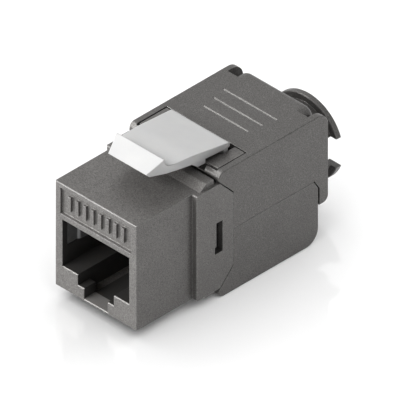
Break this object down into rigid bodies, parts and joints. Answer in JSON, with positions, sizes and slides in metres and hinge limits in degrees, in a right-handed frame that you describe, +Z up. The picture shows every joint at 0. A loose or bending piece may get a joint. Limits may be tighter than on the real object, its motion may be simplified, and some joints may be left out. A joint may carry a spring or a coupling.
{
  "type": "keystone jack",
  "caption": "Shielded keystone jack: metal housing with a plug port, sprung release latch on top, and hinged rear covers that close round the cable in a split collar.",
  "frame": {"origin": "bottom centre of the closed jack's bounding box, on the plane that the lower cover rests on", "axes": "+X to the right seen from the plug side, +Y from the plug port to the cable collar, +Z up"},
  "size_m": [0.0162, 0.0382, 0.0226],
  "materials": {
    "housing_metal": "satin, fine grain",
    "cover_metal": "satin, fine grain",
    "latch_plastic": "satin white",
    "insert_plastic": "matte black",
    "manager_plastic": "matte dark grey",
    "board_laminate": "solder mask",
    "contact_plating": "gold plated",
    "terminal_metal": "tin plated",
    "spring_steel": "bright spring steel"
  },
  "bodies": {
    "housing": {"front_housing": "housing_metal", "contact_carrier": "insert_plastic", "contact_1": "contact_plating", "contact_2": "contact_plating", "contact_3": "contact_plating", "contact_4": "contact_plating", "contact_5": "contact_plating", "contact_6": "contact_plating", "contact_7": "contact_plating", "contact_8": "contact_plating", "circuit_board": "board_laminate", "idc_block": "insert_plastic", "idc_terminal_1": "terminal_metal", "idc_terminal_2": "terminal_metal", "idc_terminal_3": "terminal_metal", "idc_terminal_4": "terminal_metal", "idc_terminal_5": "terminal_metal", "idc_terminal_6": "terminal_metal", "idc_terminal_7": "terminal_metal", "idc_terminal_8": "terminal_metal", "wire_manager": "manager_plastic", "shield_spring_left": "spring_steel", "shield_spring_right": "spring_steel"},
    "top_cover": {"upper_cover": "cover_metal"},
    "bottom_cover": {"lower_cover": "cover_metal"},
    "latch": {"release_latch": "latch_plastic"}
  },
  "joints": [
    {"name": "upper_cover_hinge", "type": "hinge", "parent": "housing", "child": "top_cover", "pos_m": [0, -0.00415, 0.01835], "axis": [1, 0, 0], "range_deg": [0, 90]},
    {"name": "lower_cover_hinge", "type": "hinge", "parent": "housing", "child": "bottom_cover", "pos_m": [0, -0.00415, 0.00095], "axis": [-1, 0, 0], "range_deg": [0, 90]},
    {"name": "latch_press", "type": "hinge", "parent": "housing", "child": "latch", "pos_m": [0, -0.0008, 0.0176], "axis": [1, 0, 0], "range_deg": [0, 7], "stiffness_Nm_per_rad": 0.05}
  ],
  "couplings": [
    {"joint": "lower_cover_hinge", "follows": "upper_cover_hinge", "ratio": 1}
  ]
}
